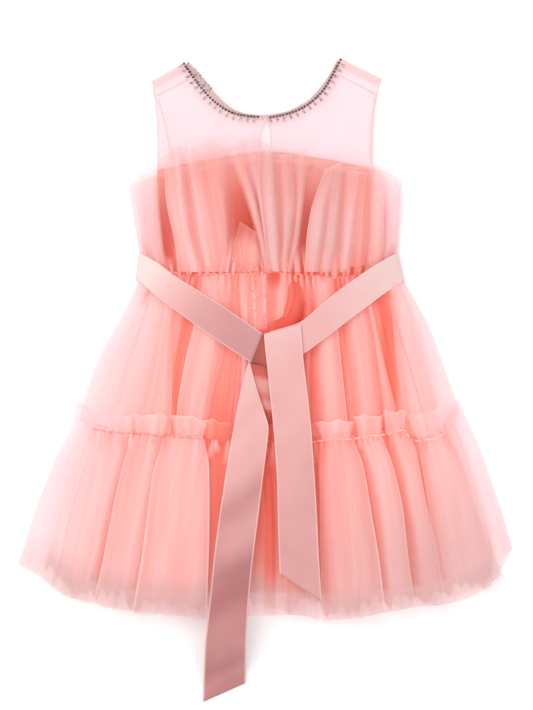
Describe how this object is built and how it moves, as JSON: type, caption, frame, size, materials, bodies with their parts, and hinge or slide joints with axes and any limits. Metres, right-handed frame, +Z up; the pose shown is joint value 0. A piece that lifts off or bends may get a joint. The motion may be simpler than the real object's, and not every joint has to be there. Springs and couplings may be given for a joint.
{
  "type": "toddler party dress",
  "caption": "Sleeveless tulle party dress laid flat, back side up: sheer yoke, gathered ruffle bodice, tiered skirt and a satin sash tied at the back.",
  "frame": {"origin": "on the surface the dress lies on, under the middle of its outline", "axes": "+Y towards the neck, +X to the right of the picture, +Z up off the surface"},
  "size_m": [0.446, 0.58, 0.0324],
  "materials": {
    "sheer": "sheer organza",
    "tulle": "fine net",
    "lining": "satin",
    "ribbon": "satin",
    "bead": "gloss",
    "stones": "faceted"
  },
  "bodies": {
    "root": {"front_yoke": "sheer", "back_yoke_left": "sheer", "back_yoke_right": "sheer", "neck_binding_left": "sheer", "neck_binding_right": "sheer", "button": "bead", "front_bodice_lining": "lining", "back_bodice_lining_left": "lining", "back_bodice_lining_right": "lining", "front_skirt_lining": "lining", "back_skirt_lining": "lining", "front_ruffle": "tulle", "back_ruffle_inner_left": "tulle", "back_ruffle_inner_right": "tulle", "back_ruffle_left": "tulle", "back_ruffle_right": "tulle", "front_upper_tier": "tulle", "back_upper_tier": "tulle", "zip_placket": "lining", "front_lower_tier": "tulle", "back_lower_tier": "tulle", "sash_front": "ribbon", "sash_left_band": "ribbon", "sash_right_band": "ribbon", "sash_knot": "ribbon", "sash_left_tail": "ribbon", "sash_right_tail": "ribbon"}
  },
  "joints": []
}
